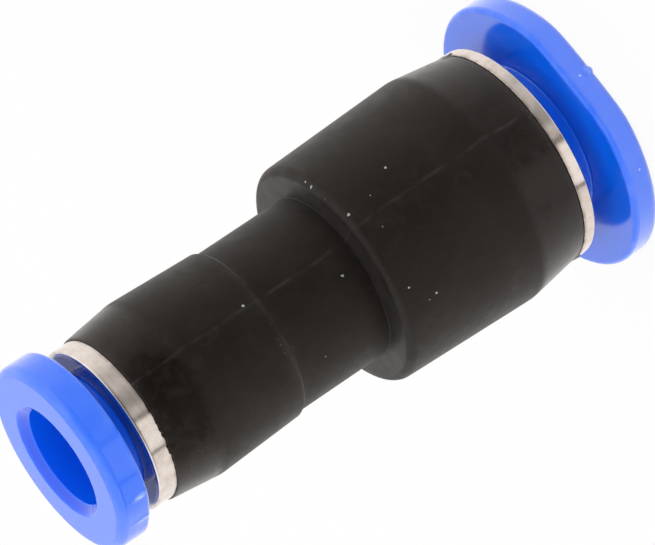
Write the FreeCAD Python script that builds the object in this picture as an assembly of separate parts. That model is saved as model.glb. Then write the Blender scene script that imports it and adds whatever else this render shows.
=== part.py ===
# Straight push-in reducer for 8 mm and 6 mm plastic tube.
# The part stands on the flange of its large release sleeve: Z runs along the axis from the large
# end (z = 0) to the small end, and the origin is the centre of the large flange's end face.
# All sizes are in millimetres.

import FreeCAD
import Part
import math
import os
from types import SimpleNamespace

# Tubes that the fitting takes
large_tube_diameter = 8.0
small_tube_diameter = 6.0
through_bore_diameter = 4.0
tube_clearance = 0.10

# Fits between the pieces
sleeve_running_clearance = 0.08
grip_running_clearance = 0.06
slip_clearance = 0.03
stop_clearance = 0.10

# Outside of the black body
large_mouth_wall = 0.90
large_taper_length = 3.55
large_taper_rise = 0.53
large_barrel_length = 9.40
large_barrel_draft = 0.34
small_mouth_wall = 0.80
small_taper_length = 3.20
small_taper_rise = 0.40
small_barrel_length = 5.80
small_barrel_draft = 0.25
neck_step = 0.18
shoulder_edge_radius = 0.57
shoulder_root_chamfer = 0.25
taper_kink_radius = 2.50
body_edge_chamfer = 0.12
stop_web = 2.40

# Release sleeves
large_flange_diameter = 17.20
large_flange_thickness = 1.80
large_flange_edge_radius = 0.50
large_flange_back_chamfer = 0.22
large_gate_flat_depth = 0.75
large_gate_nub_height = 0.36
large_gate_angle = -78.0
large_sleeve_wall = 0.75
large_barb_height = 0.40
large_release_travel = 1.40
small_flange_diameter = 11.90
small_flange_thickness = 2.10
small_flange_edge_radius = 0.55
small_flange_back_chamfer = 0.24
small_gate_flat_depth = 0.35
small_gate_nub_height = 0.15
small_gate_angle = 205.0
small_sleeve_wall = 0.60
small_barb_height = 0.28
small_release_travel = 0.95
mouth_chamfer_radial = 0.50
mouth_chamfer_depth = 0.50
barb_land = 0.30
barb_length = 1.00
finger_count = 4
finger_slot_width = 0.80
finger_slot_setback = 0.60
nose_length = 1.10
nose_tip_wall = 0.30
gate_nub_radius = 0.30
gate_nub_setback = 0.04

# Guide rings
large_band_width = 0.85
large_band_proud = 0.05
large_ring_wall = 0.60
small_band_width = 1.25
small_band_proud = -0.10
small_ring_wall = 0.38
band_edge_chamfer = 0.15
ring_lip_thickness = 1.50
ring_recess_clearance = 0.12
ring_recess_length = 3.60
ring_ridge_count = 3
ring_ridge_height = 0.12
ring_plain_end = 0.40

# Grip rings
large_tooth_count = 10
small_tooth_count = 8
grip_thickness = 0.28
large_grip_clamp_width = 0.75
small_grip_clamp_width = 0.45
tooth_bite = 0.14
tooth_slant = 48.0
tooth_slot_width = 0.60

# Backing rings, seals and tube seats
tooth_lift_room = 0.45
backing_lead_length = 0.60
seal_length = 1.90
seal_lip_thickness = 0.40
seal_squeeze = 0.12
seal_groove_depth = 0.95
large_tube_seat_length = 4.70
small_tube_seat_length = 3.50
tube_lead_in = 0.30

# How far a cutting tool runs past the surface that it cuts
cut_overrun = 1.0

AXIS = FreeCAD.Vector(0, 0, 1)
CENTRE = FreeCAD.Vector(0, 0, 0)


def port(tube_diameter, flange_diameter, flange_thickness, flange_edge, flange_back, gate_flat,
         gate_height, gate_angle, sleeve_wall, barb_height, travel, band_width, band_proud,
         ring_wall, mouth_wall, clamp_width, tooth_count, seat_length):
    """Radii and depths of one end; a depth is counted inwards from the flange's end face."""
    p = SimpleNamespace()
    p.tube_r = tube_diameter / 2
    p.bore_r = p.tube_r + tube_clearance
    p.flange_r = flange_diameter / 2
    p.flange_t = flange_thickness
    p.flange_edge = flange_edge
    p.flange_back = flange_back
    p.travel = travel
    p.gate_flat_r = p.flange_r - gate_flat
    p.gate_top_r = p.gate_flat_r + gate_height
    p.gate_angle = gate_angle
    p.tooth_count = tooth_count

    p.hub_r = p.bore_r + sleeve_wall
    p.barb_r = p.hub_r + barb_height
    p.lip_r = p.hub_r + sleeve_running_clearance
    p.recess_r = p.barb_r + ring_recess_clearance
    p.socket_r = p.recess_r + ring_wall
    p.mouth_r = p.socket_r + mouth_wall
    p.band_r = p.mouth_r + band_proud

    p.ring_front = p.flange_t + travel + stop_clearance
    p.mouth = p.ring_front + band_width
    p.lip_back = p.ring_front + ring_lip_thickness
    p.ring_back = p.lip_back + ring_recess_length
    p.barb_front = p.lip_back + stop_clearance
    p.grip_front = p.ring_back + grip_running_clearance
    p.grip_back = p.grip_front + grip_thickness
    p.backing_front = p.grip_back + grip_running_clearance

    p.clamp_r = p.socket_r - grip_running_clearance
    p.tooth_root_r = p.clamp_r - clamp_width
    p.tooth_tip_r = p.tube_r - tooth_bite
    p.tooth_reach = (p.tooth_root_r - p.tooth_tip_r) * math.tan(math.radians(90 - tooth_slant))
    p.nose_back = p.grip_front - stop_clearance

    p.cone_back = p.backing_front + p.tooth_reach + grip_thickness + tooth_lift_room
    p.backing_back = p.cone_back + backing_lead_length
    p.seal_back = p.backing_back + seal_length
    p.stop = p.seal_back + seat_length
    return p


large = port(large_tube_diameter, large_flange_diameter, large_flange_thickness,
             large_flange_edge_radius, large_flange_back_chamfer, large_gate_flat_depth,
             large_gate_nub_height, large_gate_angle, large_sleeve_wall, large_barb_height,
             large_release_travel, large_band_width, large_band_proud, large_ring_wall,
             large_mouth_wall, large_grip_clamp_width, large_tooth_count, large_tube_seat_length)
# The small end is built upside down and then turned over, so its gate's angle counts the other way.
small = port(small_tube_diameter, small_flange_diameter, small_flange_thickness,
             small_flange_edge_radius, small_flange_back_chamfer, small_gate_flat_depth,
             small_gate_nub_height, -small_gate_angle, small_sleeve_wall, small_barb_height,
             small_release_travel, small_band_width, small_band_proud, small_ring_wall,
             small_mouth_wall, small_grip_clamp_width, small_tooth_count, small_tube_seat_length)
overall_length = large.stop + stop_web + small.stop


def outline(corners):
    """Closed face in the XZ plane. A corner is (radius, height) or (radius, height, fillet)."""
    points = [FreeCAD.Vector(c[0], 0, c[1]) for c in corners]
    fillets = [c[2] if len(c) > 2 else 0 for c in corners]
    starts = []
    ends = []
    arcs = []
    count = len(points)
    for i, point in enumerate(points):
        before = (points[i - 1] - point).normalize()
        after = (points[(i + 1) % count] - point).normalize()
        half = before.getAngle(after) / 2
        if fillets[i] == 0:
            starts.append(point)
            ends.append(point)
            arcs.append(None)
            continue
        setback = fillets[i] / math.tan(half)
        middle = (before + after).normalize()
        centre = point + middle * (fillets[i] / math.sin(half))
        starts.append(point + before * setback)
        ends.append(point + after * setback)
        arcs.append(centre - middle * fillets[i])
    edges = []
    for i in range(count):
        if arcs[i] is not None:
            edges.append(Part.Arc(starts[i], arcs[i], ends[i]).toShape())
        following = starts[(i + 1) % count]
        edges.append(Part.LineSegment(ends[i], following).toShape())
    return Part.Face(Part.Wire(edges))


def turned(corners):
    """Solid of revolution about Z of a closed outline."""
    return outline(corners).revolve(CENTRE, AXIS, 360)


def around(tool, count):
    """Copies of a tool, evenly spaced about Z."""
    copies = []
    for i in range(count):
        copy = tool.copy()
        copy.rotate(CENTRE, AXIS, 360 * i / count)
        copies.append(copy)
    return copies


def to_small_end(shape):
    """Turn a piece built by depth so that its depth counts down from the small end's face."""
    shape = shape.copy()
    shape.rotate(CENTRE, FreeCAD.Vector(1, 0, 0), 180)
    shape.translate(FreeCAD.Vector(0, 0, overall_length))
    return shape


def release_sleeve(p):
    """Flanged sleeve with slit fingers; their barbs hook behind the guide ring's lip.

    The rim has a flat where the mould's gate was, so that the broken gate does not stand out.
    """
    sleeve = turned([
        (p.bore_r + mouth_chamfer_radial, 0),
        (p.flange_r, 0, p.flange_edge),
        (p.flange_r, p.flange_t - p.flange_back),
        (p.flange_r - p.flange_back, p.flange_t),
        (p.hub_r, p.flange_t),
        (p.hub_r, p.barb_front),
        (p.barb_r, p.barb_front),
        (p.barb_r, p.barb_front + barb_land),
        (p.hub_r, p.barb_front + barb_length),
        (p.hub_r, p.nose_back - nose_length),
        (p.bore_r + nose_tip_wall, p.nose_back),
        (p.bore_r, p.nose_back),
        (p.bore_r, mouth_chamfer_depth),
    ])
    slot_front = p.ring_front + finger_slot_setback
    slot_reach = p.barb_r + cut_overrun
    slot = Part.makeBox(slot_reach, finger_slot_width, p.nose_back - slot_front + cut_overrun,
                        FreeCAD.Vector(0, -finger_slot_width / 2, slot_front))
    slot_end = Part.makeCylinder(finger_slot_width / 2, slot_reach,
                                 FreeCAD.Vector(0, 0, slot_front), FreeCAD.Vector(1, 0, 0))
    flat = Part.makeBox(p.flange_r, 2 * p.flange_r, p.flange_t + 2 * cut_overrun,
                        FreeCAD.Vector(p.gate_flat_r, -p.flange_r, -cut_overrun))
    flat.rotate(CENTRE, AXIS, p.gate_angle)
    nub = Part.makeCylinder(gate_nub_radius, p.gate_top_r - p.hub_r,
                            FreeCAD.Vector(p.hub_r, 0, gate_nub_radius + gate_nub_setback),
                            FreeCAD.Vector(1, 0, 0))
    nub.rotate(CENTRE, AXIS, p.gate_angle)
    sleeve = sleeve.cut(around(slot.fuse(slot_end), finger_count) + [flat])
    return sleeve.fuse(nub).removeSplitter()


def ridge_corners(p):
    """Saw-tooth ridges of the guide ring's pressed part, from the mouth inwards."""
    first = p.mouth + ring_plain_end
    pitch = (p.ring_back - ring_plain_end - first) / ring_ridge_count
    corners = [(p.socket_r, first)]
    for i in range(ring_ridge_count):
        corners.append((p.socket_r + ring_ridge_height, first + i * pitch))
        corners.append((p.socket_r, first + (i + 1) * pitch))
    return corners


def guide_ring(p):
    """Plated ring with a visible band, ridges that bite the body and a lip that holds the sleeve."""
    return turned([
        (p.lip_r, p.ring_front),
        (p.band_r - band_edge_chamfer, p.ring_front),
        (p.band_r, p.ring_front + band_edge_chamfer),
        (p.band_r, p.mouth),
        (p.socket_r, p.mouth),
    ] + ridge_corners(p) + [
        (p.socket_r, p.ring_back),
        (p.recess_r, p.ring_back),
        (p.recess_r, p.lip_back),
        (p.lip_r, p.lip_back),
    ])


def grip_ring(p):
    """Spring steel ring: a flat rim and a cone cut into teeth that slant inwards and down the bore."""
    rise = grip_thickness / math.cos(math.radians(90 - tooth_slant))
    ring = turned([
        (p.clamp_r, p.grip_front),
        (p.clamp_r, p.grip_back),
        (p.tooth_root_r, p.grip_back),
        (p.tooth_tip_r, p.grip_back + p.tooth_reach),
        (p.tooth_tip_r, p.grip_back + p.tooth_reach - rise),
        (p.tooth_root_r, p.grip_front),
    ])
    slot = Part.makeBox(p.tooth_root_r, tooth_slot_width, p.stop,
                        FreeCAD.Vector(0, -tooth_slot_width / 2, 0))
    slot_end = Part.makeCylinder(tooth_slot_width / 2, p.stop,
                                 FreeCAD.Vector(p.tooth_root_r, 0, 0))
    return ring.cut(around(slot.fuse(slot_end), p.tooth_count))


def backing_ring(p):
    """Spacer with a cone that leaves room for the teeth and a short guide for the tube."""
    outer_r = p.socket_r - slip_clearance
    return turned([
        (outer_r, p.backing_front),
        (outer_r, p.backing_back),
        (p.bore_r, p.backing_back),
        (p.bore_r, p.cone_back),
        (p.tooth_root_r, p.backing_front),
    ])


def seal(p):
    """Lip seal: its inner lip points at the pressure and closes on the tube."""
    outer_r = p.socket_r - slip_clearance
    lip_r = p.tube_r - seal_squeeze
    return turned([
        (outer_r, p.backing_back),
        (outer_r, p.seal_back),
        (outer_r - seal_lip_thickness, p.seal_back),
        ((outer_r + lip_r) / 2, p.seal_back - seal_groove_depth),
        (lip_r + seal_lip_thickness, p.seal_back),
        (lip_r, p.seal_back - seal_lip_thickness / 2),
        (lip_r, p.seal_back - seal_lip_thickness),
        (p.bore_r, p.backing_back + seal_lip_thickness),
        (p.bore_r, p.backing_back),
    ])


def socket(p):
    """Space inside one end of the body: ring seat with ridge marks, seal seat and tube seat."""
    return turned([
        (0, p.mouth - cut_overrun),
        (p.socket_r, p.mouth - cut_overrun),
    ] + ridge_corners(p) + [
        (p.socket_r, p.seal_back),
        (p.bore_r + tube_lead_in, p.seal_back),
        (p.bore_r, p.seal_back + tube_lead_in),
        (p.bore_r, p.stop),
        (0, p.stop),
    ])


def body():
    """Stepped black body: tapered mouths, two barrels with mould draft, a shoulder and a neck."""
    large_kink = large.mouth + large_taper_length
    shoulder = large_kink + large_barrel_length
    small_mouth = overall_length - small.mouth
    small_kink = small_mouth - small_taper_length
    step = small_kink - small_barrel_length
    large_kink_r = large.mouth_r + large_taper_rise
    small_kink_r = small.mouth_r + small_taper_rise
    step_r = small_kink_r - small_barrel_draft
    neck_r = step_r - neck_step
    block = turned([
        (0, large.mouth),
        (large.mouth_r - body_edge_chamfer, large.mouth),
        (large.mouth_r, large.mouth + body_edge_chamfer),
        (large_kink_r, large_kink, taper_kink_radius),
        (large_kink_r - large_barrel_draft, shoulder, shoulder_edge_radius),
        (neck_r + shoulder_root_chamfer, shoulder),
        (neck_r, shoulder + shoulder_root_chamfer),
        (neck_r, step),
        (step_r, step + neck_step),
        (small_kink_r, small_kink, taper_kink_radius),
        (small.mouth_r, small_mouth - body_edge_chamfer),
        (small.mouth_r - body_edge_chamfer, small_mouth),
        (0, small_mouth),
    ])
    passage = Part.makeCylinder(through_bore_diameter / 2, stop_web + 2 * cut_overrun,
                                FreeCAD.Vector(0, 0, large.stop - cut_overrun))
    return block.cut([socket(large), to_small_end(socket(small)), passage])


def build():
    """Every piece of the fitting by its name."""
    pieces = {"body": body()}
    makers = {
        "release_sleeve": release_sleeve,
        "guide_ring": guide_ring,
        "grip_ring": grip_ring,
        "backing_ring": backing_ring,
        "seal": seal,
    }
    for name, maker in makers.items():
        pieces["large_" + name] = maker(large)
        pieces["small_" + name] = to_small_end(maker(small))
    return pieces


os.makedirs("parts", exist_ok=True)
for node, shape in build().items():
    shape.exportStep("parts/" + node + ".step")
    print(node, len(shape.Solids), round(shape.Volume, 2), shape.isValid())
print("overall length", round(overall_length, 2))
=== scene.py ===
import math

import bpy
import numpy as np
from mathutils import Matrix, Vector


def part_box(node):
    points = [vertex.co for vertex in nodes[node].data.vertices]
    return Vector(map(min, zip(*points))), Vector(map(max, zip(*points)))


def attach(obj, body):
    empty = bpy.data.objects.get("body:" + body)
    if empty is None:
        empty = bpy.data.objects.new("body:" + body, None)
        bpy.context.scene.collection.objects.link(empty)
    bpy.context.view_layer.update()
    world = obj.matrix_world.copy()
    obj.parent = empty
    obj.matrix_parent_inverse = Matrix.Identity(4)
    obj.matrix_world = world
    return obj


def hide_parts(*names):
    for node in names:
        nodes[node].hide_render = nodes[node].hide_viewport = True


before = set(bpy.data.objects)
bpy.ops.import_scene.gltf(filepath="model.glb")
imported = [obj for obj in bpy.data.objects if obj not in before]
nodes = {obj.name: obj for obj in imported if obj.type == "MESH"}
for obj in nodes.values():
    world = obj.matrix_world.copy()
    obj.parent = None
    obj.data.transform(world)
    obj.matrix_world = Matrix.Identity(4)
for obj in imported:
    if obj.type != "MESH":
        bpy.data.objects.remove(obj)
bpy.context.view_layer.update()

# Body
# One black glass-filled nylon moulding with a socket for each tube. Its barrels are spark-eroded and matt,
# its tapers are polished, and a fine parting line of the two mould halves runs along each side.
mm = 0.001
body_low, body_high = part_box("body")
large_mouth = body_low.z
small_mouth = body_high.z
large_mouth_radius = 6.87 * mm
large_kink_radius = 7.40 * mm
large_taper_length = 3.55 * mm
shoulder_radius = 7.06 * mm
shoulder_height = 17.10 * mm
shoulder_edge = 0.57 * mm
shoulder_root = 0.05 * mm
neck_radius = 5.25 * mm
step_height = 23.28 * mm
step_radius = 5.43 * mm
step_edge = 0.10 * mm
small_kink_radius = 5.68 * mm
small_taper_length = 3.20 * mm
small_mouth_radius = 5.28 * mm
kink_fillet = 2.50 * mm
mouth_edge = 0.10 * mm
large_socket_radius = 5.97 * mm
large_seal_shoulder = 13.20 * mm
large_tube_stop = 17.90 * mm
large_bore_radius = 4.10 * mm
small_socket_radius = 4.48 * mm
small_seal_shoulder = 23.80 * mm
small_tube_stop = 20.30 * mm
small_bore_radius = 3.10 * mm
bore_lead_in = 0.30 * mm
passage_radius = 2.00 * mm
moulded_corner = 0.03 * mm
arc_step = 0.14
fewest_arc_points = 4
body_spacing = 0.40 * mm
body_columns = 300

parting_azimuths = np.radians([-77.0, 103.0])
parting_ridge_height = 0.018 * mm
parting_ridge_width = 0.060 * mm
parting_mark_width = 0.20 * mm
parting_grid_widths = 4
parting_grid_columns = 17
parting_mean_share = 0.58
parting_long_share = 0.32
parting_long_wave = 0.42 * mm
parting_short_share = 0.30
parting_short_wave = 0.17 * mm
parting_wander = 0.035 * mm
wander_long_wave = 0.55 * mm
wander_short_share = 0.6
wander_short_wave = 0.21 * mm
flash_azimuth = math.radians(-114.0)
flash_spread = math.radians(25.0)
flash_reach = 0.14 * mm
flash_edge = 0.06 * mm
flash_band = 0.12 * mm
flash_wave_counts = (23, 37, 59, 83, 127)
flash_mean_share = 0.5
flash_wave_share = 1.3
flash_most = 1.2
pip_azimuths = np.radians([-174.0, -13.0])
pip_width = 0.22 * mm
pip_reach = 0.18 * mm
pip_proud = 0.12 * mm
pip_edge = 0.10 * mm
pip_band = 0.15 * mm
body_wear_reach = 0.22 * mm
polish_blend = 0.5 * mm
shoulder_band = 0.02 * mm
shoulder_polish = 0.55


def rounded_outline(corners, spacing):
    """Points round a closed outline of corners (radius, height, fillet), and which rows are sharp.

    Each fillet is an arc tangent to both sides: its centre lies on the corner's bisector, at the fillet
    divided by the sine of half the corner's angle. Its arm turns from the first tangent point to the last by
    sines of the shares of the sweep. Straight stretches get points at the spacing.
    """
    places = np.array([corner[:2] for corner in corners])
    fillets = [corner[2] for corner in corners]
    points = []
    sharp = []
    for i, place in enumerate(places):
        back = places[i - 1] - place
        on = places[(i + 1) % len(places)] - place
        back = back / np.linalg.norm(back)
        on = on / np.linalg.norm(on)
        half = math.acos(np.clip(back @ on, -1, 1)) / 2
        if fillets[i] == 0:
            arc = [place]
        else:
            middle = (back + on) / np.linalg.norm(back + on)
            centre = place + middle * fillets[i] / math.sin(half)
            begin = place + back * fillets[i] / math.tan(half) - centre
            finish = place + on * fillets[i] / math.tan(half) - centre
            sweep = math.pi - 2 * half
            share = np.linspace(0, 1, max(fewest_arc_points, math.ceil(sweep / arc_step)))[:, None]
            arm = begin * np.sin((1 - share) * sweep) + finish * np.sin(share * sweep)
            arc = centre + arm / math.sin(sweep)
        if points:
            run = np.linalg.norm(arc[0] - points[-1])
            count = max(1, math.ceil(run / spacing))
            between = np.linspace(points[-1], arc[0], count + 1)[1:-1]
            points.extend(between)
            sharp.extend([False] * len(between))
        points.extend(arc)
        sharp.extend([fillets[i] == 0] * len(arc))
    run = np.linalg.norm(points[0] - points[-1])
    between = np.linspace(points[-1], points[0], max(1, math.ceil(run / spacing)) + 1)[1:-1]
    points.extend(between)
    sharp.extend([False] * len(between))
    return np.array(points), np.array(sharp)


def outward(outline):
    """Unit normals of a closed outline: its central difference turned by a right angle, away from inside."""
    ahead = np.roll(outline, -1, axis=0) - np.roll(outline, 1, axis=0)
    normals = np.stack([ahead[:, 1], -ahead[:, 0]], axis=1)
    normals /= np.linalg.norm(normals, axis=1)[:, None]
    r, z = outline.T
    area = np.sum(r * np.roll(z, -1) - np.roll(r, -1) * z)
    return normals if area > 0 else -normals


def closed_volume(points, quads):
    """Signed volume of a closed mesh: a sixth of each triangle's corners' triple product, added up."""
    a, b, c, d = (points[quads[:, k]] for k in range(4))
    first = np.einsum("ij,ij->i", a, np.cross(b, c))
    second = np.einsum("ij,ij->i", a, np.cross(c, d))
    return (first + second).sum() / 6


def make_piece(name, points, quads, sharp_row=None, values=None):
    """A mesh object from points and quads, faces outwards, with values at its points.

    sharp_row gives each point the number of its sharp row, or -1: an edge within one such row is sharp.
    """
    if closed_volume(points, quads) < 0:
        quads = quads[:, ::-1]
    mesh = bpy.data.meshes.new(name)
    mesh.from_pydata(points, [], quads)
    mesh.shade_smooth()
    if sharp_row is not None:
        ends = np.empty(len(mesh.edges) * 2, np.int64)
        mesh.edges.foreach_get("vertices", ends)
        ends = ends.reshape(-1, 2)
        row = sharp_row[ends]
        is_sharp = (row[:, 0] >= 0) & (row[:, 0] == row[:, 1])
        attribute = mesh.attributes.new("sharp_edge", "BOOLEAN", "EDGE")
        attribute.data.foreach_set("value", is_sharp)
    for label, value in (values or {}).items():
        attribute = mesh.attributes.new(label, "FLOAT", "POINT")
        attribute.data.foreach_set("value", np.asarray(value, np.float32).ravel())
    piece = bpy.data.objects.new(name, mesh)
    bpy.context.scene.collection.objects.link(piece)
    return piece


def turned_piece(name, outline, sharp, turns, lift=None, shift=None, values=None):
    """A surface of revolution: radius times cosine and sine of the turn, and the height as it is.

    lift moves each point along the outline's normal and shift moves it in height, both [row, column].
    """
    rows = len(outline)
    columns = len(turns)
    normals = outward(outline)
    lift = np.zeros((rows, columns)) if lift is None else lift
    radius = outline[:, :1] + normals[:, :1] * lift
    height = outline[:, 1:] + normals[:, 1:] * lift
    if shift is not None:
        height = height + shift
    points = np.stack([radius * np.cos(turns), radius * np.sin(turns), height], axis=-1)
    index = np.arange(rows * columns).reshape(rows, columns)
    below = np.roll(index, -1, axis=0)
    quads = np.stack([index, below, np.roll(below, -1, axis=1), np.roll(index, -1, axis=1)], axis=-1)
    row_of = np.where(sharp, np.arange(rows), -1)
    row_of = np.repeat(row_of, columns)
    return make_piece(name, points.reshape(-1, 3), quads.reshape(-1, 4), row_of, values)


def from_corner(outline, corners):
    """Distance of each outline point to the nearest of the corners that are worn."""
    apart = outline[:, None, :] - np.array(corners)[None, :, :2]
    return np.linalg.norm(apart, axis=2).min(axis=1)


def turn_from(turns, azimuth):
    """Signed angle from an azimuth, between minus and plus half a turn."""
    return (turns - azimuth + math.pi) % (2 * math.pi) - math.pi


body_corners = [
    (large_socket_radius, large_mouth, moulded_corner),
    (large_mouth_radius, large_mouth, mouth_edge),
    (large_kink_radius, large_mouth + large_taper_length, kink_fillet),
    (shoulder_radius, shoulder_height, shoulder_edge),
    (neck_radius, shoulder_height, shoulder_root),
    (neck_radius, step_height, step_edge),
    (step_radius, step_height + step_radius - neck_radius, step_edge),
    (small_kink_radius, small_mouth - small_taper_length, kink_fillet),
    (small_mouth_radius, small_mouth, mouth_edge),
    (small_socket_radius, small_mouth, moulded_corner),
    (small_socket_radius, small_seal_shoulder, moulded_corner),
    (small_bore_radius + bore_lead_in, small_seal_shoulder, 0),
    (small_bore_radius, small_seal_shoulder - bore_lead_in, 0),
    (small_bore_radius, small_tube_stop, moulded_corner),
    (passage_radius, small_tube_stop, 0),
    (passage_radius, large_tube_stop, 0),
    (large_bore_radius, large_tube_stop, moulded_corner),
    (large_bore_radius, large_seal_shoulder + bore_lead_in, 0),
    (large_bore_radius + bore_lead_in, large_seal_shoulder, 0),
    (large_socket_radius, large_seal_shoulder, moulded_corner),
]
body_outline, body_sharp = rounded_outline(body_corners, body_spacing)
even_turns = np.linspace(-math.pi, math.pi, body_columns, endpoint=False)
near_parting = np.linspace(-parting_grid_widths, parting_grid_widths, parting_grid_columns)
near_parting = near_parting * parting_ridge_width / neck_radius
parting_turns = [azimuth + near_parting for azimuth in parting_azimuths]
body_turns = np.unique(np.concatenate([even_turns] + parting_turns))

# The ridge on each parting line wanders and fades along the body by sines of the height.
body_r, body_z = body_outline[:, :1], body_outline[:, 1:]
outside = body_r > small_mouth_radius - mouth_edge
wander = np.sin(body_z / wander_long_wave) + wander_short_share * np.sin(body_z / wander_short_wave + 2)
wander = parting_wander * wander / body_r
parting_distance = np.min(
    [np.abs(turn_from(body_turns - wander, azimuth)) for azimuth in parting_azimuths], axis=0)
ridge = np.exp(-(parting_distance * body_r / (parting_ridge_width / 2)) ** 2)
broken = parting_mean_share + parting_long_share * np.sin(body_z / parting_long_wave)
broken = np.clip(broken + parting_short_share * np.sin(body_z / parting_short_wave + 1), 0, 1)
body_lift = outside * parting_ridge_height * ridge * broken

# Ragged flash, a sum of sines of the turn, stands at the small mouth's edge, and two pips at the large one's.
flash_turn = turn_from(body_turns, flash_azimuth) / flash_spread
flash_waves = sum(np.sin(waves * body_turns + waves ** 2) / waves ** 0.5 for waves in flash_wave_counts)
flash_height = np.clip(flash_mean_share + flash_wave_share * flash_waves, 0, flash_most)
flash_shape = np.exp(-flash_turn ** 4) * flash_height
at_small_edge = np.exp(-((body_r - small_mouth_radius) / flash_edge) ** 2)
at_small_edge = at_small_edge * (body_z > small_mouth - flash_band)
body_shift = at_small_edge * flash_reach * flash_shape
pips = sum(
    np.exp(-(turn_from(body_turns, azimuth) * large_mouth_radius / pip_width) ** 2)
    for azimuth in pip_azimuths
)
at_large_edge = np.exp(-((body_r - large_mouth_radius) / pip_edge) ** 2)
at_large_edge = at_large_edge * (body_z < large_mouth + pip_band)
body_shift = body_shift - at_large_edge * pip_reach * pips
body_lift = body_lift + at_large_edge * pip_proud * pips

# The material reads where edges are worn or, at the step, painted lighter as a highlight, where the mould is
# polished, and where the parting line runs.
parting_mark = np.exp(-(parting_distance * body_r / (parting_mark_width / 2)) ** 2)
# Lighter edges at the mouths and the shoulder are wear; the lighter step edge is a painted highlight.
worn_and_lit_corners = [body_corners[i] for i in (1, 3, 6, 8)]
body_edge = np.exp(-from_corner(body_outline, worn_and_lit_corners) / body_wear_reach)
polish = np.clip((large_mouth + large_taper_length - body_outline[:, 1]) / polish_blend, 0, 1)
polish = polish + np.clip((body_outline[:, 1] - small_mouth + small_taper_length) / polish_blend, 0, 1)
on_shoulder = np.abs(body_outline[:, 1] - shoulder_height) < shoulder_band
on_shoulder = on_shoulder * (body_outline[:, 0] > neck_radius)
polish = np.maximum(polish, shoulder_polish * on_shoulder)
all_round = np.ones(len(body_turns))
body = turned_piece(
    "body_moulding", body_outline, body_sharp, body_turns, body_lift, body_shift,
    {
        "edge": np.outer(body_edge, all_round),
        "polish": np.outer(polish, all_round),
        "parting": parting_mark * outside * broken,
    },
)


def wire(tree, kind, sockets=None, **settings):
    """A shader node with its settings, and its sockets given values or links."""
    node = tree.nodes.new(kind)
    for label, value in settings.items():
        setattr(node, label, value)
    for label, value in (sockets or {}).items():
        if isinstance(value, bpy.types.NodeSocket):
            tree.links.new(value, node.inputs[label])
        else:
            node.inputs[label].default_value = value
    return node


def new_group(name, inputs, outputs):
    """An empty node group with number inputs (name, default) and number outputs."""
    group = bpy.data.node_groups.new(name, "ShaderNodeTree")
    for label, default in inputs:
        socket = group.interface.new_socket(name=label, in_out="INPUT", socket_type="NodeSocketFloat")
        socket.default_value = default
    for label in outputs:
        group.interface.new_socket(name=label, in_out="OUTPUT", socket_type="NodeSocketFloat")
    return group, group.nodes.new("NodeGroupInput"), group.nodes.new("NodeGroupOutput")


def blend_colors(tree, factor, first, second):
    """Colour between the first, where the factor is 0, and the second, where it is 1."""
    node = tree.nodes.new("ShaderNodeMix")
    node.data_type = "RGBA"
    for socket, value in zip([node.inputs[0], node.inputs[6], node.inputs[7]], [factor, first, second]):
        if isinstance(value, bpy.types.NodeSocket):
            tree.links.new(value, socket)
        else:
            socket.default_value = value
    return node.outputs[2]


def ramp(tree, value, low, high, out_low=0.0, out_high=1.0):
    """The value carried from low..high to out_low..out_high, and held beyond both ends."""
    node = wire(tree, "ShaderNodeMapRange", {"Value": value, "From Min": low, "From Max": high,
                                             "To Min": out_low, "To Max": out_high})
    return node.outputs["Result"]


def math_node(tree, operation, first, second=0.0):
    """One sum on two values or sockets."""
    return wire(tree, "ShaderNodeMath", {0: first, 1: second}, operation=operation).outputs[0]


def new_material(name):
    """An empty material with its Principled shader and object coordinates."""
    material = bpy.data.materials.new(name)
    material.use_nodes = True
    tree = material.node_tree
    tree.nodes.clear()
    shader = tree.nodes.new("ShaderNodeBsdfPrincipled")
    output = tree.nodes.new("ShaderNodeOutputMaterial")
    tree.links.new(shader.outputs[0], output.inputs[0])
    place = tree.nodes.new("ShaderNodeTexCoord").outputs["Object"]
    return material, tree, shader, place


# The moulded skin is shared by all the plastic and rubber pieces: fine pits of the mould's surface, slow
# mottling where the melt cooled unevenly, and thin handling scratches.
skin, skin_in, skin_out = new_group(
    "moulded skin",
    [("Grain Size mm", 0.05), ("Mottle Size mm", 2.0), ("Scratch Size mm", 3.0)],
    ["Grain", "Mottle", "Scratches"],
)
skin_place = skin.nodes.new("ShaderNodeTexCoord").outputs["Object"]


def per_metre(tree, size_in_mm):
    """Noise scale for a feature size in millimetres."""
    return math_node(tree, "DIVIDE", 1 / mm, size_in_mm)


grain = wire(skin, "ShaderNodeTexNoise", {
    "Vector": skin_place, "Scale": per_metre(skin, skin_in.outputs["Grain Size mm"]),
    "Detail": 3.0, "Roughness": 0.6}).outputs["Fac"]
mottle = wire(skin, "ShaderNodeTexNoise", {
    "Vector": skin_place, "Scale": per_metre(skin, skin_in.outputs["Mottle Size mm"]),
    "Detail": 5.0, "Roughness": 0.55, "Distortion": 0.4}).outputs["Fac"]
scratch_warp = wire(skin, "ShaderNodeTexNoise", {
    "Vector": skin_place, "Scale": per_metre(skin, skin_in.outputs["Scratch Size mm"]),
    "Detail": 1.0}).outputs["Color"]
scratch_place = wire(skin, "ShaderNodeVectorMath", {0: skin_place, 1: scratch_warp}, operation="ADD")
scratch_cells = wire(skin, "ShaderNodeTexVoronoi", {
    "Vector": scratch_place.outputs[0],
    "Scale": per_metre(skin, skin_in.outputs["Scratch Size mm"])}, feature="DISTANCE_TO_EDGE")
scratches = ramp(skin, scratch_cells.outputs["Distance"], 0.0, 0.012, 1.0, 0.0)
scratch_gaps = ramp(skin, mottle, 0.52, 0.62)
skin.links.new(grain, skin_out.inputs["Grain"])
skin.links.new(ramp(skin, mottle, 0.3, 0.7), skin_out.inputs["Mottle"])
skin.links.new(math_node(skin, "MULTIPLY", scratches, scratch_gaps), skin_out.inputs["Scratches"])


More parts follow.
